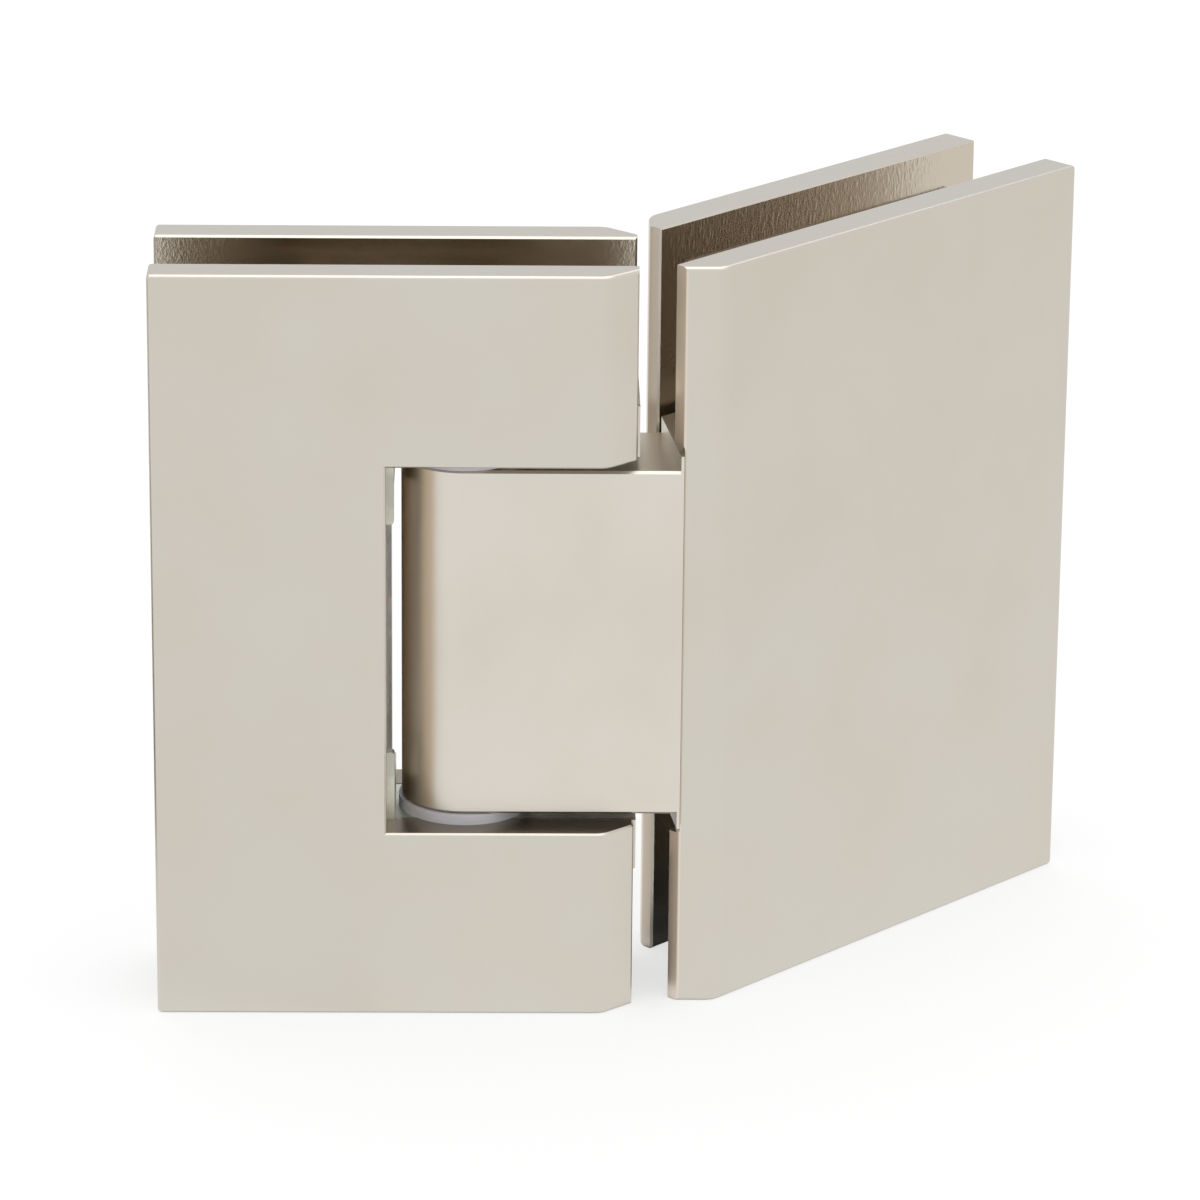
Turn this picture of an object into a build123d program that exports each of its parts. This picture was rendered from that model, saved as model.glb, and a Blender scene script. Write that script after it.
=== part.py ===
from build123d import *
import os
from math import cos, radians, sin

# A 135 degree glass to glass shower door hinge. Two leaves of paired plates clamp two panes of
# glass. The door leaf turns on an upright pin inside the nose of a pivot block, and the block's
# tongue is held between the plates of the fixed leaf.
# Millimetres. The origin is on the pin's axis at mid height. The door leaf lies along -X with its
# front towards -Y, and the fixed leaf turns away towards +X and +Y.

# Glass, gaskets and plates
glass_thickness = 10.0
gasket_thickness = 0.6
plate_thickness = 4.8
leaf_height = 90.0
outer_edge_radius = 0.5
inner_edge_chamfer = 0.25
land_thickness = 1.8            # what the bevel leaves of a plate's end at the pivot
bevel_edge_radius = 2.5

# Door leaf, measured along X from the pin's axis
door_outer_reach = 35.8
door_inner_reach = 19.7
door_bevel_width = 3.5
front_notch_past_axis = 9.0
rear_notch_past_axis = 8.6
notch_edge_chamfer = 0.2

# Fixed leaf, measured along itself from the line where the two glass planes meet
fold_angle = 45.0
corner_reach = 21.0             # pin's axis to that line
fixed_front_start = -1.6
fixed_rear_start = 7.6
fixed_outer_reach = 62.9
fixed_bevel_width = 3.0

# Pivot block
block_thickness = 14.7
knuckle_height = 42.0
flange_step = 1.8               # how far the flange stands above and below the knuckle
block_end = 25.07               # pin's axis to the block's right end
step_setback = 0.35             # from that end to the flange's step, on the front face
step_foot = 1.0                 # from the step's back edge to the fixed rear plate's end
block_edge_chamfer = 0.3
tongue_reach = 27.0
tongue_corner_radius = 4.0
tongue_gap = 1.5                # the fixed rear plate stays off the tongue, to grip the glass
carrier_gap = 0.2               # and the door rear plate off the carriers
joint_gap = 0.06
flange_play = 1.0               # flange to the ends of the front plate's recess
recess_corner_radius = 0.5

# Pin, bushes and washers
pin_diameter = 8.0
pin_flats = 6.0                 # across the four flats that the springs grip
pin_chamfer = 0.3
pin_floor = 1.5
screw_flat_depth = 0.6
screw_flat_length = 7.0
bush_wall = 1.0
washer_thickness = 1.2
washer_overhang = 0.35
running_gap = 0.1
turning_clearance = 0.05
fixed_clearance = 0.02

# Detent springs and their keeper
spring_strip = 1.2
spring_height = 12.5
spring_gap = 0.5
spring_tip = 2.2
spring_bend_at = 17.0
pocket_play = 0.05
pocket_end_gap = 0.25
pocket_nose_wall = 1.5
keeper_clearance = 0.1

# Carriers, the bosses that hold the pin between the door plates
ear_proud = 0.9                 # past the front notch's edge
ear_width = 12.8
ear_end = 14.0                  # the ear's tip, from mid height
ear_thickness = 1.25            # of the tip, a lip at the front of the carrier's boss
ear_corner_radius = 0.35
boss_end = 18.3                 # the boss behind the lip, from mid height
carrier_top = 34.5
carrier_end_proud = 0.3
carrier_end_height = 6.0
carrier_shoulder = 9.5
carrier_corner = 1.5

# Screws
clamp_screw_diameter = 5.0
clamp_head_diameter = 9.6
clamp_hex = 3.0
set_screw_diameter = 5.0
set_screw_length = 6.0
set_hex = 2.5
tongue_screw_diameter = 4.0
tongue_head_diameter = 7.0
tongue_head_height = 4.0
tongue_hex = 3.0
head_sink = 0.15
pass_clearance = 0.2
thread_stop = 1.1               # metal left in front of a blind hole
screw_end_gap = 0.3
door_ear_screw = (-15.5, 22.0)
door_arm_screw = (9.8, 28.8)
set_screw_height = 28.5
fixed_screw_reach = 20.5
fixed_screw_height = 13.0
tongue_screw_reach = 13.2
tongue_screw_height = 17.8

# Gasket sheets
gasket_inset = 5.0
gasket_pivot_inset = 3.0
gasket_notch_inset = 0.45
gasket_clearance = 0.8

half_gap = glass_thickness / 2 + gasket_thickness
leaf_half = half_gap + plate_thickness
half_height = leaf_height / 2
boss_back = half_gap - carrier_gap
tongue_back = half_gap - tongue_gap
block_half = block_thickness / 2
knuckle_half = knuckle_height / 2
flange_half = knuckle_half + flange_step
recess_half = flange_half + flange_play
notch_half = knuckle_half + running_gap + washer_thickness
notch_edge = -front_notch_past_axis
rear_notch_edge = -rear_notch_past_axis
lip_front = -half_gap - inner_edge_chamfer
pin_radius = pin_diameter / 2
pin_reach = carrier_top - pin_floor
spring_inside = pin_flats / 2 + fixed_clearance
spring_outside = spring_inside + spring_strip
spring_end = spring_bend_at + spring_outside
spring_reach = spring_height + spring_gap / 2
pocket_half_height = spring_reach + pocket_end_gap
pocket_half_width = pin_radius + spring_strip + pocket_play
blind_end = thread_stop - leaf_half
bush_radius = pin_radius + turning_clearance + bush_wall
beyond = 2 * leaf_height        # past everything, for cuts
pick_tolerance = 0.01           # for choosing edges by where they lie
fold = radians(fold_angle)
fixed_frame = Pos(corner_reach, 0, 0) * Rot(0, 0, fold_angle)


def near(value, target):
    """True where two lengths are the same, apart from rounding."""
    return abs(value - target) < pick_tolerance


def box_between(x, y, z):
    """A box from three (low, high) pairs."""
    spans = (x, y, z)
    centre = [(low + high) / 2 for low, high in spans]
    return Pos(*centre) * Box(*[high - low for low, high in spans])


def slab(sketch, low, high):
    """A shape drawn on X and Z, filled from Y = low to Y = high."""
    return extrude(Plane.XZ.offset(-high) * sketch, high - low)


def cross_rod(x, z, radius, low, high):
    """A round bar along Y."""
    return slab(Pos(x, z) * Circle(radius), low, high)


def axis_rod(radius, low, high):
    """A round bar on the pin's axis."""
    return Pos(0, 0, (low + high) / 2) * Cylinder(radius, high - low)


def upright(sketch, half):
    """A plan filled equally above and below mid height."""
    return extrude(Pos(0, 0, -half) * sketch, 2 * half)


def clamp_plate(pivot_end, far_end, bevel_width, side):
    """One bevelled plate of a leaf; side is -1 for the front plate and 1 for the rear one."""
    inner, outer = side * half_gap, side * leaf_half
    land = side * (half_gap + land_thickness)
    bevel_start = pivot_end + (bevel_width if far_end > pivot_end else -bevel_width)
    outline = Polyline((far_end, inner), (far_end, outer), (bevel_start, outer),
                       (pivot_end, land), (pivot_end, inner), close=True)
    plate = upright(make_face(outline), half_height)
    shoulder = [edge for edge in plate.edges().filter_by(Axis.Z) if near(edge.center().X, bevel_start)]
    plate = fillet(shoulder, bevel_edge_radius)
    inner_rim = [edge for edge in plate.edges() if near(edge.center().Y, inner)]
    plate = chamfer(inner_rim, inner_edge_chamfer)
    outer_rim = [edge for edge in plate.edges() if is_outer_rim(edge, far_end, pivot_end, inner)]
    return fillet(outer_rim, outer_edge_radius)


def is_outer_rim(edge, far_end, pivot_end, inner):
    """True for the edges round a plate's outer face and bevel, down to the bevel's land."""
    centre = edge.center()
    past_land = abs(centre.Y - inner) > land_thickness - pick_tolerance
    above_or_below = near(abs(centre.Z), half_height)
    upright_end = near(centre.Z, 0) and (near(centre.X, far_end) or near(centre.X, pivot_end))
    return past_land and (above_or_below or upright_end)


def flat_head_screw(length):
    """A flat head socket screw along Z, its head's face at zero and its shank below."""
    cone_depth = (clamp_head_diameter - clamp_screw_diameter) / 2
    profile = Polyline((0, 0), (clamp_head_diameter / 2, 0), (clamp_screw_diameter / 2, -cone_depth),
                       (clamp_screw_diameter / 2, -length), (0, -length), close=True)
    body = revolve(Plane.XZ * make_face(profile), Axis.Z)
    return body - extrude(RegularPolygon(clamp_hex / 2, 6, major_radius=False), -cone_depth)


def cap_screw(length):
    """A socket cap screw along Z, its head's face at zero and its shank below."""
    body = axis_rod(tongue_head_diameter / 2, -tongue_head_height, 0)
    body += axis_rod(tongue_screw_diameter / 2, -length, -tongue_head_height)
    return body - extrude(RegularPolygon(tongue_hex / 2, 6, major_radius=False), -tongue_head_height / 2)


def set_screw():
    """A flat point set screw along Z, its socket's face at zero and its tip below."""
    body = axis_rod(set_screw_diameter / 2, -set_screw_length, 0)
    return body - extrude(RegularPolygon(set_hex / 2, 6, major_radius=False), -set_screw_length / 2)


def driven_from_back(x, y, z):
    """A place on a rear face where a screw is driven towards -Y."""
    return Plane(origin=(x, y, z), x_dir=(1, 0, 0), z_dir=(0, 1, 0))


def countersink(x, z):
    """The hole in a rear plate that a clamp screw passes through, with a seat that sinks its head."""
    wide = clamp_head_diameter / 2 + fixed_clearance + head_sink
    narrow = clamp_screw_diameter / 2 + pass_clearance
    depth = wide - narrow
    seat = Pos(0, 0, -depth / 2) * Cone(narrow, wide, depth)
    return [driven_from_back(x, leaf_half, z) * seat, cross_rod(x, z, narrow, 0, leaf_half - depth)]


def counterbore(x, z):
    """The hole in the tongue that a cap screw passes through, with room that sinks its head."""
    head_room = cross_rod(x, z, tongue_head_diameter / 2 + pass_clearance,
                          tongue_back - head_sink - tongue_head_height, beyond)
    return [head_room, cross_rod(x, z, tongue_screw_diameter / 2 + pass_clearance, -beyond, beyond)]


def threaded_hole(x, z, diameter, high):
    """A blind hole in a front plate, open towards the back."""
    return cross_rod(x, z, diameter / 2 + fixed_clearance, blind_end, high)


def mirrored_places(*places):
    """Each place above mid height, and its mirror image below."""
    return [(x, side * z) for x, z in places for side in (1, -1)]


def screw_group(places, face, kind):
    """Equal screws of one kind, sunk in a face and as long as the blind holes allow."""
    head = face - head_sink
    screw = kind(head - blind_end - screw_end_gap)
    return [driven_from_back(x, head, z) * screw for x, z in places]


def door_screw_places():
    return mirrored_places(door_ear_screw, door_arm_screw)


def fixed_screw_places():
    return mirrored_places((fixed_screw_reach, fixed_screw_height))


def tongue_screw_places():
    return mirrored_places((tongue_screw_reach, tongue_screw_height))


def carrier_outline(tip):
    """The upper carrier on X and Z: ear beside the notch, boss round the pin, bar along the arm."""
    ear_right = notch_edge + ear_proud
    ear_left = ear_right - ear_width
    bar_end = door_inner_reach + carrier_end_proud
    return Polyline((ear_right, tip), (ear_right, notch_half), (bar_end, notch_half),
                    (bar_end, notch_half + carrier_end_height), (carrier_shoulder, carrier_top),
                    (ear_left + carrier_corner, carrier_top), (ear_left, carrier_top - carrier_corner),
                    (ear_left, tip), close=True)


def carrier_boss():
    """The part of the upper carrier that fills the gap between the plates."""
    return slab(make_face(carrier_outline(boss_end)), -half_gap, boss_back)


def carrier_lip():
    """The thin front of the upper carrier, which carries the ear's tip."""
    face = make_face(carrier_outline(ear_end))
    face = fillet([corner for corner in face.vertices() if near(corner.Y, ear_end)], ear_corner_radius)
    return slab(face, lip_front, lip_front + ear_thickness)


def notched(plate, edge_x, face_y):
    """A door plate with the deep notch cut in its pivot side, and the notch's outer edge broken."""
    plate -= box_between((edge_x, beyond), (-beyond, beyond), (-notch_half, notch_half))
    rim = [edge for edge in plate.edges()
           if near(edge.center().Y, face_y) and abs(edge.center().Z) < notch_half + pick_tolerance]
    return chamfer(rim, notch_edge_chamfer)


def door_front_plate():
    """The door leaf's front plate, cast with the two carriers that hold the pin."""
    plate = clamp_plate(door_inner_reach, -door_outer_reach, door_bevel_width, -1)
    carrier = carrier_boss() + carrier_lip()
    plate = notched(plate, notch_edge, -leaf_half) + carrier + mirror(carrier, about=Plane.XY)
    plate -= axis_rod(pin_radius + fixed_clearance, -pin_reach, beyond)
    for x, z in door_screw_places():
        plate -= threaded_hole(x, z, clamp_screw_diameter, boss_back)
    for x, z in mirrored_places((0, set_screw_height)):
        plate -= cross_rod(x, z, set_screw_diameter / 2 + fixed_clearance, 0, boss_back)
    return plate


def door_rear_plate():
    """The loose rear plate of the door leaf, with seats for its screws."""
    plate = clamp_plate(door_inner_reach, -door_outer_reach, door_bevel_width, 1)
    plate = notched(plate, rear_notch_edge, leaf_half)
    for x, z in door_screw_places():
        plate -= countersink(x, z)
    for x, z in mirrored_places((0, set_screw_height)):
        plate -= cross_rod(x, z, set_screw_diameter / 2 + fixed_clearance, 0, beyond)
    return plate


def gasket(sheet, side):
    """A flat sheet between a plate and the glass."""
    low, high = sorted((side * half_gap, side * glass_thickness / 2))
    return slab(sheet, low, high)


def sheet_between(left, right):
    """The outline of a gasket, with its height set in from the leaf's."""
    outline = Rectangle(right - left, leaf_height - 2 * gasket_inset)
    return Pos((left + right) / 2, 0) * outline


def door_gasket(side):
    """The door gasket goes round the notch and the carriers."""
    sheet = sheet_between(gasket_inset - door_outer_reach, door_inner_reach - gasket_pivot_inset)
    opening = Rectangle(2 * door_inner_reach, 2 * notch_half)
    notch_side = notch_edge if side < 0 else rear_notch_edge
    sheet -= Pos(notch_side - gasket_notch_inset + door_inner_reach, 0) * opening
    carrier = offset(make_face(carrier_outline(ear_end)), gasket_clearance, kind=Kind.INTERSECTION)
    return gasket(sheet - carrier - mirror(carrier, about=Plane.XZ), side)


def fixed_gasket(start, side):
    """The fixed gasket goes round the block's tongue."""
    sheet = sheet_between(start + gasket_inset, fixed_outer_reach - gasket_inset)
    opening = Rectangle(2 * (tongue_reach + gasket_clearance), 2 * (flange_half + gasket_clearance))
    return fixed_frame * gasket(sheet - opening, side)


def pivot_pin():
    """The pin, square at the springs and flatted for the set screws."""
    pin = axis_rod(pin_radius, -pin_reach, pin_reach)
    pin = chamfer(pin.edges(), pin_chamfer)
    flat = pin_flats / 2
    waist = (-pocket_half_height - pocket_end_gap, pocket_half_height + pocket_end_gap)
    square = box_between((-flat, flat), (-flat, flat), waist)
    pin -= axis_rod(pin_diameter, *waist) - square
    for x, z in mirrored_places((0, set_screw_height)):
        pin -= box_between((-pin_diameter, pin_diameter), (pin_radius - screw_flat_depth, pin_diameter),
                           (z - screw_flat_length / 2, z + screw_flat_length / 2))
    return pin


def pin_set_screws():
    """The two set screws that stop the pin from turning in the door leaf."""
    head = pin_radius - screw_flat_depth + fixed_clearance + set_screw_length
    return [driven_from_back(x, head, z) * set_screw() for x, z in mirrored_places((0, set_screw_height))]


def washer(side):
    """A nylon ring between the knuckle and the notch's ceiling or floor."""
    ring = Circle(block_half + washer_overhang) - Circle(pin_radius + turning_clearance)
    foot = notch_half - washer_thickness if side > 0 else -notch_half
    return extrude(Pos(0, 0, foot) * ring, washer_thickness)


def pin_bush(side):
    """A plain sleeve in one end of the knuckle, from its face to the spring pocket."""
    ring = Circle(bush_radius) - Circle(pin_radius + turning_clearance)
    foot = pocket_half_height if side > 0 else -knuckle_half
    return extrude(Pos(0, 0, foot) * ring, knuckle_half - pocket_half_height)


def leaf_point(reach, y):
    """A point given in the fixed leaf's own frame, on the hinge's plan."""
    point = (fixed_frame * Pos(reach, y, 0)).position
    return (point.X, point.Y)


def front_plane_x(y, gap):
    """Where a plane inside the fixed front plate, at this gap from the glass's middle, meets Y = y."""
    return corner_reach + (y * cos(fold) + gap) / sin(fold)


def front_plane_y(x, gap):
    """Where that plane meets X = x."""
    return ((x - corner_reach) * sin(fold) - gap) / cos(fold)


def pocket_plan():
    """The spring pocket: round at the nose, straight, and open at the tongue's front face."""
    nose = Circle(block_half - pocket_nose_wall) & Rectangle(block_thickness, 2 * pocket_half_width)
    return nose + Pos(beyond / 2, 0) * Rectangle(beyond, 2 * pocket_half_width)


def pivot_block():
    """The nose and knuckle, the flange in the fixed leaf's mouth, and the tongue between its plates."""
    step_x = block_end - step_setback
    knuckle_plan = Circle(block_half) + Pos(step_x / 2, 0) * Rectangle(step_x, block_thickness)
    knuckle = upright(knuckle_plan, knuckle_half)
    rims = [edge for edge in knuckle.edges()
            if near(abs(edge.center().Z), knuckle_half) and edge.center().X < step_x - pick_tolerance]
    knuckle = chamfer(rims, block_edge_chamfer)
    outline = Polyline((step_x, -block_half), (block_end, -block_half),
                       (block_end, front_plane_y(block_end, half_gap)),
                       leaf_point(tongue_reach, -half_gap), leaf_point(tongue_reach, tongue_back),
                       leaf_point(fixed_rear_start - step_foot, tongue_back), close=True)
    flange = upright(make_face(outline), flange_half)
    tip = Vector(*leaf_point(tongue_reach, (tongue_back - half_gap) / 2), 0)
    corners = [edge for edge in flange.edges() if near(abs(edge.center().Z), flange_half)
               and near((Vector(edge.center().X, edge.center().Y, 0) - tip).length, 0)]
    flange = fillet(corners, tongue_corner_radius)
    block = knuckle + flange - upright(pocket_plan(), pocket_half_height)
    block -= axis_rod(bush_radius + fixed_clearance, -beyond, beyond)
    for x, z in fixed_screw_places():
        block -= fixed_frame * cross_rod(x, z, clamp_screw_diameter / 2 + pass_clearance, -beyond, beyond)
    for x, z in tongue_screw_places():
        block -= [fixed_frame * cut for cut in counterbore(x, z)]
    return block


def fixed_front_plate():
    """The fixed leaf's front plate, with a recess in its pivot edge for the block's flange."""
    plate = clamp_plate(fixed_front_start, fixed_outer_reach, fixed_bevel_width, -1)
    for x, z in fixed_screw_places():
        plate -= threaded_hole(x, z, clamp_screw_diameter, 0)
    for x, z in tongue_screw_places():
        plate -= threaded_hole(x, z, tongue_screw_diameter, 0)
    recess = RectangleRounded(2 * (block_end + joint_gap), 2 * recess_half, recess_corner_radius)
    return fixed_frame * plate - slab(recess, -beyond, beyond)


def fixed_rear_plate():
    """The loose rear plate of the fixed leaf, with seats for its screws."""
    plate = clamp_plate(fixed_rear_start, fixed_outer_reach, fixed_bevel_width, 1)
    for x, z in fixed_screw_places():
        plate -= countersink(x, z)
    return fixed_frame * plate


def spring_plan(half_width):
    """A straight run that ends in a half circle, as wide as the inside or the outside of a spring."""
    legs = Rectangle(spring_bend_at + spring_tip, 2 * half_width)
    return Pos((spring_bend_at - spring_tip) / 2, 0) * legs + Pos(spring_bend_at, 0) * Circle(half_width)


def detent_spring(side):
    """A strip bent to a U whose legs grip the pin's flats."""
    strip = spring_plan(spring_outside) - spring_plan(spring_inside)
    foot = spring_gap / 2 if side > 0 else -spring_reach
    return extrude(Pos(0, 0, foot) * strip, spring_height)


def spring_keeper():
    """The block of metal that fills the pocket behind the springs, shut in by the front plate."""
    start = spring_end + keeper_clearance
    half = pocket_half_width - keeper_clearance
    gap = half_gap - keeper_clearance
    stop = block_end - keeper_clearance
    outline = Polyline((start, -half), (stop, -half), (stop, front_plane_y(stop, gap)),
                       (front_plane_x(half, gap), half), (start, half), close=True)
    return upright(make_face(outline), pocket_half_height - keeper_clearance)


def fixed_screws():
    """The screws that clamp the fixed rear plate to the front plate, through the tongue."""
    return [fixed_frame * screw for screw in screw_group(fixed_screw_places(), leaf_half, flat_head_screw)]


def tongue_screws():
    """The screws that hold the tongue to the fixed front plate."""
    return [fixed_frame * screw for screw in screw_group(tongue_screw_places(), tongue_back, cap_screw)]


def door_screws():
    """The screws that clamp the door rear plate to the carriers and the front plate."""
    return screw_group(door_screw_places(), leaf_half, flat_head_screw)


nodes = {
    "door_front_plate": door_front_plate(),
    "door_rear_plate": door_rear_plate(),
    "door_front_gasket": door_gasket(-1),
    "door_rear_gasket": door_gasket(1),
    "door_clamp_screws": Compound(door_screws()),
    "pivot_pin": pivot_pin(),
    "pin_set_screws": Compound(pin_set_screws()),
    "upper_washer": washer(1),
    "lower_washer": washer(-1),
    "pivot_block": pivot_block(),
    "upper_pin_bush": pin_bush(1),
    "lower_pin_bush": pin_bush(-1),
    "upper_detent_spring": detent_spring(1),
    "lower_detent_spring": detent_spring(-1),
    "spring_keeper": spring_keeper(),
    "fixed_front_plate": fixed_front_plate(),
    "fixed_rear_plate": fixed_rear_plate(),
    "fixed_front_gasket": fixed_gasket(fixed_front_start, -1),
    "fixed_rear_gasket": fixed_gasket(fixed_rear_start, 1),
    "fixed_clamp_screws": Compound(fixed_screws()),
    "tongue_screws": Compound(tongue_screws()),
}

os.makedirs("parts", exist_ok=True)
for name, shape in nodes.items():
    export_step(shape, os.path.join("parts", name + ".step"))
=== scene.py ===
import math

import bpy
from mathutils import Matrix, Vector


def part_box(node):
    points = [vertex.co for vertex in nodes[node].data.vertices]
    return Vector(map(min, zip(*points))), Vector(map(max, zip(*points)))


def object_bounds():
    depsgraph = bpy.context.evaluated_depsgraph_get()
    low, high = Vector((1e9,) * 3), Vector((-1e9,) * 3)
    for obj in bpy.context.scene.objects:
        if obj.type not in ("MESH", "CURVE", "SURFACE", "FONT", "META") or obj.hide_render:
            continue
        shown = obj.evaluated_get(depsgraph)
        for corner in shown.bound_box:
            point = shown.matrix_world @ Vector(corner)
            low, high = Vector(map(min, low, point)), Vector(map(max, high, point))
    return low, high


# The looks of a 135 degree glass to glass shower door hinge: satin nickel plate over cast brass,
# wrinkled in patches in the glass slots, with thin gaskets and nylon washers, in a white studio.
# Metres, in the part's own frame: origin on the pin's axis, +Z up, the door leaf along -X.

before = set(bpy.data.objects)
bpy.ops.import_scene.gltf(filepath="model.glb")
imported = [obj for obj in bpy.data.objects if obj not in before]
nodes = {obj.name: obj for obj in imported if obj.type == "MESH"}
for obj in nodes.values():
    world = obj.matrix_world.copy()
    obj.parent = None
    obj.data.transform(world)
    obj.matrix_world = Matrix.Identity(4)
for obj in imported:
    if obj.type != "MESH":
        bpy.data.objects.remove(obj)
cad_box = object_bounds()

# Where the photograph was taken from
CAMERA_PLACE = Vector((0.00442, -0.67981, 0.24573))
CAMERA_YAW = math.radians(0.95)
CAMERA_PITCH = math.radians(19.66)
CAMERA_ROLL = math.radians(0.54)
LENS_MM = 186.5
SENSOR_MM = 36.0

# The leaves' layout
HALF_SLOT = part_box("door_rear_plate")[0].y      # middle of the glass to a plate's inner face
NOTCH_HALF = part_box("upper_washer")[1].z        # half the height of the door leaf's notch
NOTCH_SIDE = -0.0090            # upright side of the notch in the door's front plate
CORNER_REACH = 0.021            # pin's axis to the line where the glass planes meet
FOLD = math.radians(45)         # how far the fixed leaf turns away from the door leaf's line
CARRIER_DEPTH = 0.0003          # what lies further inside the slot than this is a carrier
EAR_DEPTH = 0.0062              # the ears in the notch lie within this of the glass's middle plane
SKIN = 0.00003                  # slack of the tests for where a face lies
LEVEL_COSINE = 0.9              # a level face's normal is at least this near to upright
PIVOT_COSINE = 0.8              # and the normal of a face at the pivot to the leaf's own line

# Colours are linear
WHITE = (1.0, 1.0, 1.0)
NICKEL = (0.66, 0.625, 0.555)
NICKEL_WARM = (0.62, 0.56, 0.47)
SLOT_NICKEL = (0.62, 0.56, 0.475)
END_PAINTED_REFLECTION = (0.74, 0.66, 0.575)        # the plates' faces towards the pivot, with painted warm reflection, those of them in the notch, with painted warm reflection, and the notch's level faces, with painted shade
NOTCH_END_PAINTED_REFLECTION = (0.72, 0.60, 0.47)          # those of them in the notch,
NOTCH_LEVEL_PAINTED_SHADE = (0.34, 0.30, 0.245)       # and the notch's level faces
# a pale painted highlight along the notch's edge of the door plates' inner faces
LIP_PAINTED_HIGHLIGHT = (0.88, 0.87, 0.86)
BLOCK_NICKEL = (0.73, 0.69, 0.615)
# painted shade on the block's level faces
BLOCK_LEVEL_PAINTED_SHADE = (0.60, 0.54, 0.45)
# a brown painted reflection of the door's slot on the block's nose
NOSE_PAINTED_REFLECTION = (0.40, 0.31, 0.21)
CAST_DULL = (0.56, 0.57, 0.51)
CAST_PALE = (0.74, 0.75, 0.67)
NYLON = (0.68, 0.67, 0.71)
GASKET_FACE = (0.60, 0.52, 0.43)
# painted shade on the gaskets' level end faces, deep in the slot
GASKET_END_PAINTED_SHADE = (0.28, 0.24, 0.20)
# a pale painted highlight along the notch on the door's gaskets
GASKET_PAINTED_HIGHLIGHT = (0.92, 0.92, 0.96)
STEEL = (0.50, 0.49, 0.47)
SPRING = (0.22, 0.21, 0.20)

# Noises: each has its scale per metre, its detail and, where it is stretched, the scale on each axis
NOISE_MIDDLE = 0.5
PLATE_CLOUDS = (60, 4)
PLATE_GRAIN = (2600, 2)
CAST_MOTTLE = (260, 5)
WRINKLE_PATCHES = (55, 2)
DOOR_WRINKLES = (2000, 4, (1, 1, 0.6))
FIXED_WRINKLES = (1300, 4, (1, 1, 0.45))
TURNED_RINGS = (900, 2, (0.15, 0.15, 1))
NYLON_RIPPLES = (250, 4, (1, 1, 4))
GASKET_CLOUDS = (250, 4)

# Values of a noise at which its spots begin and at which they are full
CLOUDS_SPAN = (0.35, 0.7)
MOTTLE_SPAN = (0.35, 0.65)
PATCHES_SPAN = (0.5, 0.62)

# How strong the patterns are
CLOUD_TINT = 0.25               # share of the warm nickel in a full cloud
CLOUD_ROUGH = 0.06              # roughness that the clouds add
RING_SHADE = 0.8                # the dark parts of rings and ripples have this share of the colour,
GASKET_SHADE = 0.9              # and those of a gasket's clouds this one
GRAIN_HEIGHT = 0.0000015
RING_HEIGHT = 0.00001
RIPPLE_HEIGHT = 0.00004
DOOR_WRINKLE_HEIGHT = 0.00006
FIXED_WRINKLE_HEIGHT = 0.00012

# Where the looks change
SMOOTHEST = -0.0085             # along the door leaf, where its inner faces are smoothest
WRINKLED_SPAN = (0.010, 0.021)  # they grow wrinkled between these distances from there
PAINTED_HIGHLIGHT_BAND = 0.0012              # width of the pale painted highlight along the notch, on gasket and plate
NOSE_SPAN = (0.0042, 0.0068)    # the block's nose grows rougher and takes its painted brown reflection between these distances beyond the pin's axis

# Roughness and other values of the surfaces
SATIN = 0.285                   # the plates
SLOT_SMOOTH = 0.14              # their inner faces
WRINKLED_ROUGH = 0.25
HIGHLIGHT_EDGE_ROUGH = 0.6                 # the edge of the inner faces along the notch, which has the painted highlight
CAST_ROUGH = 0.45
BLOCK_SATIN = 0.33
NOSE_SATIN = 0.45
STEEL_SATIN = 0.3
SPRING_SATIN = 0.35
NYLON_SATIN = 0.4
NYLON_SCATTER = 0.1             # share of the light that goes into the nylon
SCATTER_DEPTH = 0.001           # how far it gets, and how far it gets into a gasket's edge
GASKET_METALLIC = 0.9           # a gasket's faces look nearly as metallic as what is behind them

# The light: the sky is white in front and a little cooler behind, and one lamp hangs overhead
SKY_BACK = (0.76, 0.765, 0.79)
SKY_SPAN = (-0.2, 0.7)          # it turns cooler between directions with these values of Y
SKY_ON_MATTE = 0.8              # the sky's strength where it lights matte surfaces
LAMP_PLACE = (0, 0.35, 1.1)
LAMP_WIDTH = 1.4
LAMP_DEPTH = 1.8
LAMP_WATTS = 7
SLOT_BOUNCES = 16               # light goes many times to and fro between the plates

# The floor
FLOOR_SIZE = 6
FLOOR_COLOUR = (0.93, 0.93, 0.93)
FLOOR_OWN_LIGHT = 0.68          # to the camera the floor glows, and is lit only in part,
FLOOR_LIT = (0.34, 0.34, 0.34)  # which leaves a light shadow
FLOOR_RIGHT = (0.95, 0.93, 0.89)        # reflections find it a little duller to the right, more and more between these distances from the pin, with a painted dark patch beside the open end of the door's slot, between these distances to the left of the pin, in a patch with this half width, and with painted shade where walls within this distance shut it in: black with the first share of the sky open, and white with the second
FLOOR_RIGHT_SPAN = (0.10, 0.60)         # more and more between these distances from the pin,
FLOOR_PAINTED_DARK = (0.16, 0.13, 0.095)        # and dark beside the open end of the door's slot,
FLOOR_LEFT_SPAN = (0.07, 0.11)
FLOOR_LEFT_HALF = 0.06          # in a patch with this half width,
FLOOR_NEAR = 0.05               # and where walls within this distance shut it in:
FLOOR_OPEN_SPAN = (0.02, 0.5)   # black with the first share of the sky open, and white with the second


def link(tree, source, target):
    tree.links.new(source, target)


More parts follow.
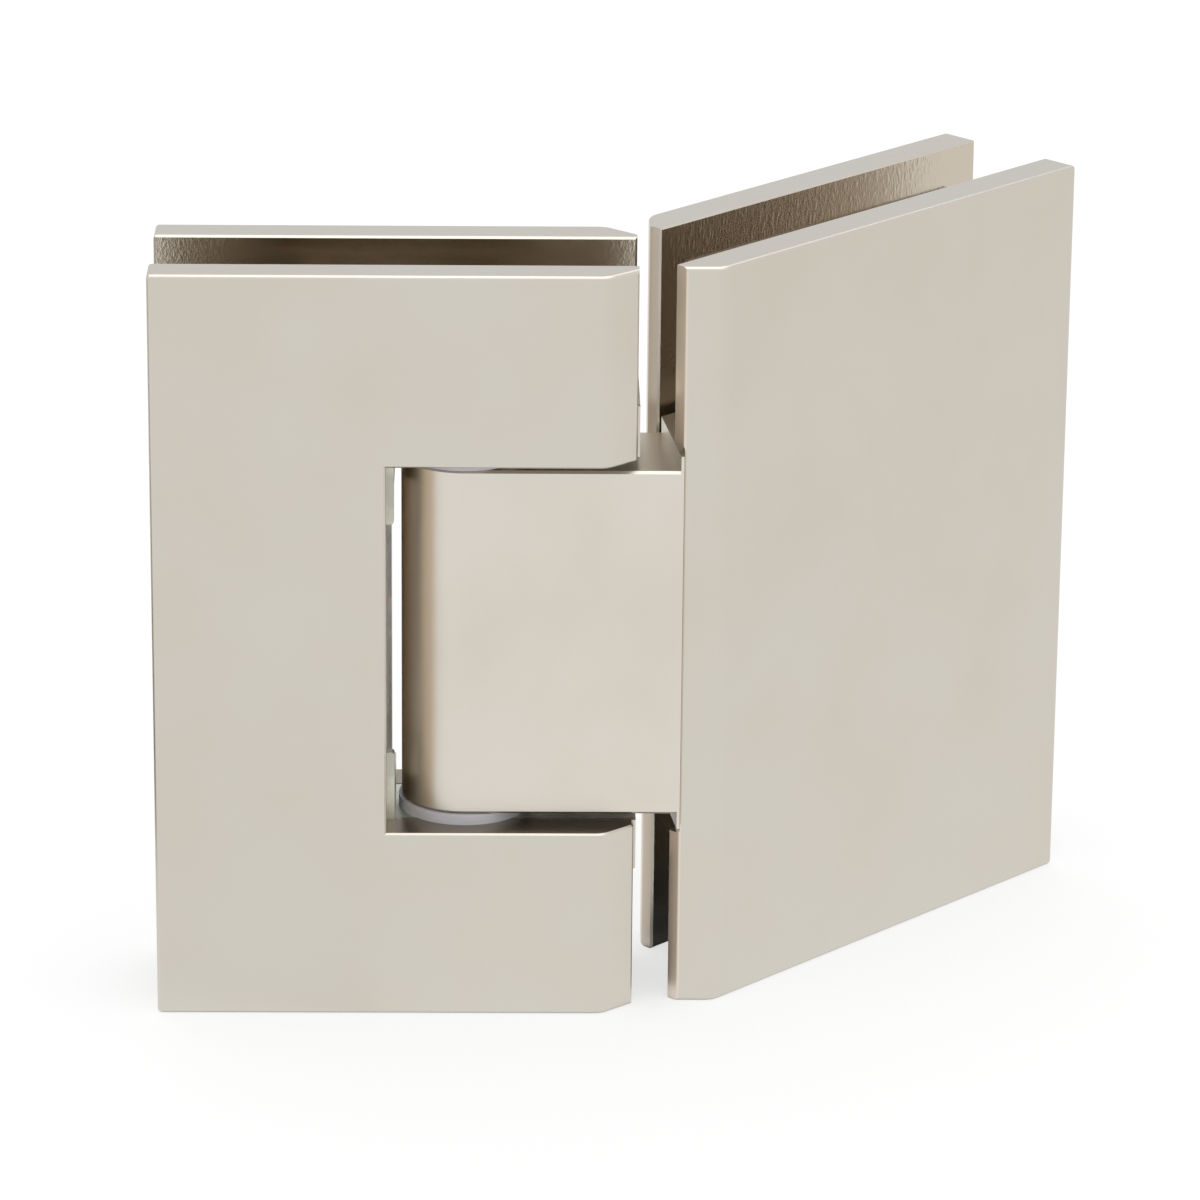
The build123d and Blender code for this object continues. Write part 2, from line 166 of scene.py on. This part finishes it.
def feed(tree, socket, value):
    """Gives an input a number, a colour or another node's output."""
    if isinstance(value, bpy.types.NodeSocket):
        link(tree, value, socket)
    elif isinstance(value, tuple):
        socket.default_value = (*value, 1)
    else:
        socket.default_value = value


def node_of(tree, kind, **settings):
    made = tree.nodes.new(kind)
    for name, value in settings.items():
        setattr(made, name, value)
    return made


def maths(tree, operation, *values):
    """A Math node's result; each value is a number or a socket."""
    made = node_of(tree, "ShaderNodeMath", operation=operation)
    for socket, value in zip(made.inputs, values):
        feed(tree, socket, value)
    return made.outputs[0]


def minus(tree, value):
    return maths(tree, "MULTIPLY", value, -1.0)


def all_of(tree, *tests):
    """1 where every test is 1."""
    product = tests[0]
    for test in tests[1:]:
        product = maths(tree, "MULTIPLY", product, test)
    return product


def none_of(tree, test):
    """1 where the test is 0."""
    return maths(tree, "SUBTRACT", 1.0, test)


def step_up(tree, value, low, high):
    """0 below low, 1 above high, smooth between."""
    made = node_of(tree, "ShaderNodeMapRange", interpolation_type="SMOOTHSTEP")
    link(tree, value, made.inputs["Value"])
    made.inputs["From Min"].default_value = low
    made.inputs["From Max"].default_value = high
    return made.outputs["Result"]


def mix_colours(tree, factor, first, second):
    made = node_of(tree, "ShaderNodeMix", data_type="RGBA")
    for socket, value in zip((made.inputs[0], made.inputs[6], made.inputs[7]), (factor, first, second)):
        feed(tree, socket, value)
    return made.outputs[2]


def mix_numbers(tree, factor, first, second):
    made = node_of(tree, "ShaderNodeMix", data_type="FLOAT")
    for socket, value in zip((made.inputs[0], made.inputs[2], made.inputs[3]), (factor, first, second)):
        feed(tree, socket, value)
    return made.outputs[0]


def mix_shaders(tree, factor, first, second):
    made = node_of(tree, "ShaderNodeMixShader")
    link(tree, factor, made.inputs[0])
    link(tree, first.outputs[0], made.inputs[1])
    link(tree, second.outputs[0], made.inputs[2])
    return made


def noise(tree, place, scale, detail, stretch=None):
    """A noise's value; stretch gives a scale for each axis."""
    if stretch:
        mapping = node_of(tree, "ShaderNodeMapping")
        mapping.inputs["Scale"].default_value = stretch
        link(tree, place, mapping.inputs["Vector"])
        place = mapping.outputs["Vector"]
    made = node_of(tree, "ShaderNodeTexNoise")
    made.inputs["Scale"].default_value = scale
    made.inputs["Detail"].default_value = detail
    link(tree, place, made.inputs["Vector"])
    return made.outputs["Fac"]


def bump(tree, pattern, height, normal=None):
    """The normal of a surface on which the pattern stands up by the height."""
    made = node_of(tree, "ShaderNodeBump")
    made.inputs["Distance"].default_value = height
    link(tree, pattern, made.inputs["Height"])
    if normal is not None:
        link(tree, normal, made.inputs["Normal"])
    return made.outputs["Normal"]


def shaded(colour, share):
    """A darker colour, with this share of the given one."""
    return tuple(share * part for part in colour)


def parts_of(tree, vector):
    """X, and the sizes of Y and Z without their signs."""
    split = node_of(tree, "ShaderNodeSeparateXYZ")
    link(tree, vector, split.inputs[0])
    return (split.outputs["X"], maths(tree, "ABSOLUTE", split.outputs["Y"]),
            maths(tree, "ABSOLUTE", split.outputs["Z"]))


def leaf_place(tree, place, fixed):
    """Coordinates with X along the leaf and Y across its glass."""
    if not fixed:
        return place
    mapping = node_of(tree, "ShaderNodeMapping", vector_type="TEXTURE")
    mapping.inputs["Location"].default_value = (CORNER_REACH, 0, 0)
    mapping.inputs["Rotation"].default_value = (0, 0, FOLD)
    link(tree, place, mapping.inputs["Vector"])
    return mapping.outputs["Vector"]


def faces_level(tree):
    """1 on faces that look straight up or down."""
    normal = node_of(tree, "ShaderNodeTexCoord").outputs["Normal"]
    return maths(tree, "GREATER_THAN", parts_of(tree, normal)[2], LEVEL_COSINE)


def faces_pivot(tree, fixed):
    """1 on faces that look from a leaf towards the pivot."""
    dot = node_of(tree, "ShaderNodeVectorMath", operation="DOT_PRODUCT")
    link(tree, node_of(tree, "ShaderNodeTexCoord").outputs["Normal"], dot.inputs[0])
    dot.inputs[1].default_value = (-math.cos(FOLD), -math.sin(FOLD), 0) if fixed else (1, 0, 0)
    return maths(tree, "GREATER_THAN", dot.outputs["Value"], PIVOT_COSINE)


def start_material(name):
    """A new material, its tree, its shader and its object coordinates."""
    material = bpy.data.materials.new(name)
    material.use_nodes = True
    tree = material.node_tree
    place = node_of(tree, "ShaderNodeTexCoord").outputs["Object"]
    return material, tree, tree.nodes["Principled BSDF"], place


def finish_shader(tree, shader, colour, roughness, normal, metallic):
    """Each value is a number, a colour or a socket."""
    feed(tree, shader.inputs["Base Color"], colour)
    feed(tree, shader.inputs["Roughness"], roughness)
    feed(tree, shader.inputs["Normal"], normal)
    feed(tree, shader.inputs["Metallic"], metallic)


def nickel_finish(tree, place, pale, satin):
    """Colour, roughness and normal of satin plate, with faint clouds and a fine grain."""
    clouds = noise(tree, place, *PLATE_CLOUDS)
    tint = maths(tree, "MULTIPLY", step_up(tree, clouds, *CLOUDS_SPAN), CLOUD_TINT)
    colour = mix_colours(tree, tint, pale, NICKEL_WARM)
    roughness = maths(tree, "MULTIPLY_ADD", clouds, CLOUD_ROUGH, satin)
    return colour, roughness, bump(tree, noise(tree, place, *PLATE_GRAIN), GRAIN_HEIGHT)


def cast_colour(tree, place):
    """Colour of the carriers between the door plates, left as cast."""
    mottle = step_up(tree, noise(tree, place, *CAST_MOTTLE), *MOTTLE_SPAN)
    return mix_colours(tree, mottle, CAST_DULL, CAST_PALE)


def slot_wrinkles(tree, place, along, fixed):
    """Where the slot's faces are wrinkled, the wrinkles there, and their height.

    The door leaf has them in patches and towards its ends. Nearly all of the fixed leaf lies beyond
    the second distance, so it has them almost all over.
    """
    wrinkles = noise(tree, place, *(FIXED_WRINKLES if fixed else DOOR_WRINKLES))
    ridges = maths(tree, "ABSOLUTE", maths(tree, "SUBTRACT", wrinkles, NOISE_MIDDLE))
    patches = step_up(tree, noise(tree, place, *WRINKLE_PATCHES), *PATCHES_SPAN)
    distance = maths(tree, "ABSOLUTE", maths(tree, "SUBTRACT", along, SMOOTHEST))
    wrinkled = maths(tree, "MAXIMUM", patches, step_up(tree, distance, *WRINKLED_SPAN))
    height = FIXED_WRINKLE_HEIGHT if fixed else DOOR_WRINKLE_HEIGHT
    return wrinkled, maths(tree, "MULTIPLY", ridges, wrinkled), height


def notch_places(tree, along, depth, height):
    """Tests for the door plates' stretch at the notch, its level faces, its ears and its edge band, which
    takes a pale painted highlight.
    """
    in_notch = maths(tree, "LESS_THAN", height, NOTCH_HALF - SKIN)
    level = all_of(tree, maths(tree, "COMPARE", height, NOTCH_HALF, SKIN), faces_level(tree))
    ear = all_of(tree, in_notch, maths(tree, "GREATER_THAN", along, NOTCH_SIDE + SKIN),
                 maths(tree, "LESS_THAN", depth, EAR_DEPTH))
    highlight_edge = all_of(tree, in_notch, maths(tree, "GREATER_THAN", along, NOTCH_SIDE - PAINTED_HIGHLIGHT_BAND))
    return in_notch, level, ear, highlight_edge


def plate_material(name, fixed):
    """Satin nickel, warm and wrinkled in the slot, with dull carriers between the plates."""
    material, tree, shader, place = start_material(name)
    colour, roughness, normal = nickel_finish(tree, place, NICKEL, SATIN)
    along, depth, height = parts_of(tree, leaf_place(tree, place, fixed))
    in_slot = maths(tree, "LESS_THAN", depth, HALF_SLOT + SKIN)
    cast = maths(tree, "LESS_THAN", depth, HALF_SLOT - CARRIER_DEPTH)
    at_end = faces_pivot(tree, fixed)
    wrinkled, wrinkles, wrinkle_height = slot_wrinkles(tree, place, along, fixed)
    slot_roughness = mix_numbers(tree, wrinkled, SLOT_SMOOTH, WRINKLED_ROUGH)
    colour = mix_colours(tree, in_slot, colour, SLOT_NICKEL)
    # painted warm reflection on the plates' faces towards the pivot
    colour = mix_colours(tree, at_end, colour, END_PAINTED_REFLECTION)
    if not fixed:
        in_notch, level, ear, highlight_edge = notch_places(tree, along, depth, height)
        # painted warm reflection on those faces in the notch, and painted shade on the notch's level faces
        colour = mix_colours(tree, all_of(tree, at_end, in_notch), colour, NOTCH_END_PAINTED_REFLECTION)
        colour = mix_colours(tree, level, colour, NOTCH_LEVEL_PAINTED_SHADE)
        # a pale painted highlight along the notch's edge of the inner faces
        colour = mix_colours(tree, all_of(tree, highlight_edge, in_slot), colour, LIP_PAINTED_HIGHLIGHT)
        cast = maths(tree, "MAXIMUM", cast, ear)
        wrinkles = all_of(tree, wrinkles, none_of(tree, highlight_edge))
        slot_roughness = mix_numbers(tree, highlight_edge, slot_roughness, HIGHLIGHT_EDGE_ROUGH)
    colour = mix_colours(tree, cast, colour, cast_colour(tree, place))
    roughness = mix_numbers(tree, in_slot, roughness, slot_roughness)
    roughness = mix_numbers(tree, cast, roughness, CAST_ROUGH)
    normal = bump(tree, all_of(tree, wrinkles, in_slot), wrinkle_height, normal)
    finish_shader(tree, shader, colour, roughness, normal, 1)
    return material


def block_material():
    """Satin nickel, rougher round the nose, where it turns in the door's notch, with a brown painted
    reflection of the slot there.
    """
    material, tree, shader, place = start_material("block_nickel")
    colour, roughness, normal = nickel_finish(tree, place, BLOCK_NICKEL, BLOCK_SATIN)
    at_nose = step_up(tree, minus(tree, parts_of(tree, place)[0]), *NOSE_SPAN)
    # brown painted reflection of the door's slot on the nose
    colour = mix_colours(tree, at_nose, colour, NOSE_PAINTED_REFLECTION)
    # painted shade on the block's level faces
    colour = mix_colours(tree, faces_level(tree), colour, BLOCK_LEVEL_PAINTED_SHADE)
    roughness = mix_numbers(tree, at_nose, roughness, NOSE_SATIN)
    finish_shader(tree, shader, colour, roughness, normal, 1)
    return material


def turned_metal(name, colour, roughness):
    """Metal with fine level rings."""
    material, tree, shader, place = start_material(name)
    rings = noise(tree, place, *TURNED_RINGS)
    ringed = mix_colours(tree, rings, shaded(colour, RING_SHADE), colour)
    finish_shader(tree, shader, ringed, roughness, bump(tree, rings, RING_HEIGHT), 1)
    return material


def nylon_material():
    """Milky nylon with level ripples."""
    material, tree, shader, place = start_material("nylon")
    ripples = noise(tree, place, *NYLON_RIPPLES)
    colour = mix_colours(tree, ripples, shaded(NYLON, RING_SHADE), NYLON)
    finish_shader(tree, shader, colour, NYLON_SATIN, bump(tree, ripples, RIPPLE_HEIGHT), 0)
    shader.inputs["Subsurface Weight"].default_value = NYLON_SCATTER
    shader.inputs["Subsurface Scale"].default_value = SCATTER_DEPTH
    return material


def gasket_material(name, fixed):
    """Clear sheet: its faces look like the metal behind them, with a pale painted highlight along the notch.
    """
    material, tree, shader, place = start_material(name)
    clouds = noise(tree, place, *GASKET_CLOUDS)
    colour = mix_colours(tree, clouds, shaded(GASKET_FACE, GASKET_SHADE), GASKET_FACE)
    # painted shade on the gaskets' level end faces
    colour = mix_colours(tree, faces_level(tree), colour, GASKET_END_PAINTED_SHADE)
    along, _, height = parts_of(tree, leaf_place(tree, place, fixed))
    metallic = GASKET_METALLIC
    if not fixed:
        pale = all_of(tree, maths(tree, "LESS_THAN", height, NOTCH_HALF),
                      step_up(tree, along, NOTCH_SIDE - PAINTED_HIGHLIGHT_BAND, NOTCH_SIDE - PAINTED_HIGHLIGHT_BAND / 2))
        # a pale painted highlight along the notch
        colour = mix_colours(tree, pale, colour, GASKET_PAINTED_HIGHLIGHT)
        metallic = mix_numbers(tree, pale, GASKET_METALLIC, 0.0)
        shader.inputs["Subsurface Weight"].default_value = 1
        shader.inputs["Subsurface Scale"].default_value = SCATTER_DEPTH
    wrinkled, wrinkles, wrinkle_height = slot_wrinkles(tree, place, along, fixed)
    roughness = mix_numbers(tree, wrinkled, SLOT_SMOOTH, WRINKLED_ROUGH)
    finish_shader(tree, shader, colour, roughness, bump(tree, wrinkles, wrinkle_height), metallic)
    return material


def dress(names, material):
    """Gives each named part the material."""
    for name in names:
        slots = nodes[name].data.materials
        slots.clear()
        slots.append(material)


def dress_hinge():
    dress(["door_front_plate", "door_rear_plate"], plate_material("door_nickel", False))
    dress(["fixed_front_plate", "fixed_rear_plate"], plate_material("fixed_nickel", True))
    dress(["pivot_block"], block_material())
    dress(["upper_washer", "lower_washer", "upper_pin_bush", "lower_pin_bush"], nylon_material())
    dress(["door_front_gasket", "door_rear_gasket"], gasket_material("door_gasket", False))
    dress(["fixed_front_gasket", "fixed_rear_gasket"], gasket_material("fixed_gasket", True))
    dress(["pivot_pin", "spring_keeper", "door_clamp_screws", "fixed_clamp_screws", "tongue_screws",
           "pin_set_screws"], turned_metal("steel", STEEL, STEEL_SATIN))
    dress(["upper_detent_spring", "lower_detent_spring"], turned_metal("spring_steel", SPRING, SPRING_SATIN))


def seen_rays(tree):
    """1 for rays from the camera and for reflections, 0 for light on matte surfaces."""
    path = node_of(tree, "ShaderNodeLightPath")
    seen = maths(tree, "MAXIMUM", path.outputs["Is Camera Ray"], path.outputs["Is Glossy Ray"])
    return maths(tree, "MAXIMUM", seen, path.outputs["Is Transmission Ray"])


def build_world():
    """A white sky to the camera, cooler behind the hinge in its reflections."""
    world = bpy.data.worlds.new("studio")
    bpy.context.scene.world = world
    world.use_nodes = True
    tree = world.node_tree
    background = tree.nodes["Background"]
    split = node_of(tree, "ShaderNodeSeparateXYZ")
    link(tree, node_of(tree, "ShaderNodeTexCoord").outputs["Generated"], split.inputs[0])
    sky = mix_colours(tree, step_up(tree, split.outputs["Y"], *SKY_SPAN), WHITE, SKY_BACK)
    to_camera = node_of(tree, "ShaderNodeLightPath").outputs["Is Camera Ray"]
    feed(tree, background.inputs["Color"], mix_colours(tree, to_camera, sky, WHITE))
    feed(tree, background.inputs["Strength"], mix_numbers(tree, seen_rays(tree), SKY_ON_MATTE, 1.0))


def matte(tree, colour):
    made = node_of(tree, "ShaderNodeBsdfDiffuse")
    feed(tree, made.inputs["Color"], colour)
    return made


def glow(tree, colour, strength):
    made = node_of(tree, "ShaderNodeEmission")
    feed(tree, made.inputs["Color"], colour)
    feed(tree, made.inputs["Strength"], strength)
    return made


def floor_to_camera(tree):
    """What the camera sees: a glow, and a part of the light that falls on the floor."""
    seen = node_of(tree, "ShaderNodeAddShader")
    link(tree, glow(tree, WHITE, FLOOR_OWN_LIGHT).outputs[0], seen.inputs[0])
    link(tree, matte(tree, FLOOR_LIT).outputs[0], seen.inputs[1])
    return seen


def floor_in_reflections(tree, place):
    """What reflections find: a white floor, duller to the right, with a painted dark patch beside the slot's
    open end and painted shade where walls shut it in."""
    along, across, _ = parts_of(tree, place)
    to_right = step_up(tree, along, *FLOOR_RIGHT_SPAN)
    to_left = step_up(tree, minus(tree, along), *FLOOR_LEFT_SPAN)
    beside_slot = none_of(tree, step_up(tree, across, FLOOR_LEFT_HALF / 2, FLOOR_LEFT_HALF))
    colour = mix_colours(tree, to_right, WHITE, FLOOR_RIGHT)
    # a painted dark patch, seen only in reflections, beside the slot's open end
    colour = mix_colours(tree, all_of(tree, to_left, beside_slot), colour, FLOOR_PAINTED_DARK)
    # painted shade: the glow dims where walls shut the floor in
    open_sky = node_of(tree, "ShaderNodeAmbientOcclusion")
    open_sky.inputs["Distance"].default_value = FLOOR_NEAR
    return glow(tree, colour, step_up(tree, open_sky.outputs["AO"], *FLOOR_OPEN_SPAN))


def build_floor():
    """A white floor that keeps a light shadow of the hinge."""
    bpy.ops.mesh.primitive_plane_add(size=FLOOR_SIZE, location=(0, 0, cad_box[0].z))
    floor = bpy.context.object
    floor.name = "floor"
    material, tree, shader, place = start_material("floor_white")
    tree.nodes.remove(shader)
    path = node_of(tree, "ShaderNodeLightPath")
    looks = mix_shaders(tree, path.outputs["Is Glossy Ray"], matte(tree, FLOOR_COLOUR),
                        floor_in_reflections(tree, place))
    looks = mix_shaders(tree, path.outputs["Is Camera Ray"], looks, floor_to_camera(tree))
    link(tree, looks.outputs[0], tree.nodes["Material Output"].inputs["Surface"])
    floor.data.materials.append(material)


def build_lamp():
    """One wide lamp overhead, which looks straight down."""
    light = bpy.data.lights.new("overhead", "AREA")
    light.shape = "RECTANGLE"
    light.size = LAMP_WIDTH
    light.size_y = LAMP_DEPTH
    light.energy = LAMP_WATTS
    lamp = bpy.data.objects.new("overhead", light)
    bpy.context.scene.collection.objects.link(lamp)
    lamp.location = LAMP_PLACE


def build_camera():
    data = bpy.data.cameras.new("camera")
    data.lens = LENS_MM
    data.sensor_width = SENSOR_MM
    camera = bpy.data.objects.new("camera", data)
    bpy.context.scene.collection.objects.link(camera)
    turn = (Matrix.Rotation(-CAMERA_YAW, 4, "Z") @ Matrix.Rotation(math.pi / 2 - CAMERA_PITCH, 4, "X")
            @ Matrix.Rotation(CAMERA_ROLL, 4, "Z"))
    camera.matrix_world = Matrix.Translation(CAMERA_PLACE) @ turn
    bpy.context.scene.camera = camera


dress_hinge()
build_world()
build_floor()
build_lamp()
build_camera()
bpy.context.scene.view_settings.view_transform = "Standard"
bpy.context.scene.cycles.max_bounces = SLOT_BOUNCES
bpy.context.scene.cycles.glossy_bounces = SLOT_BOUNCES
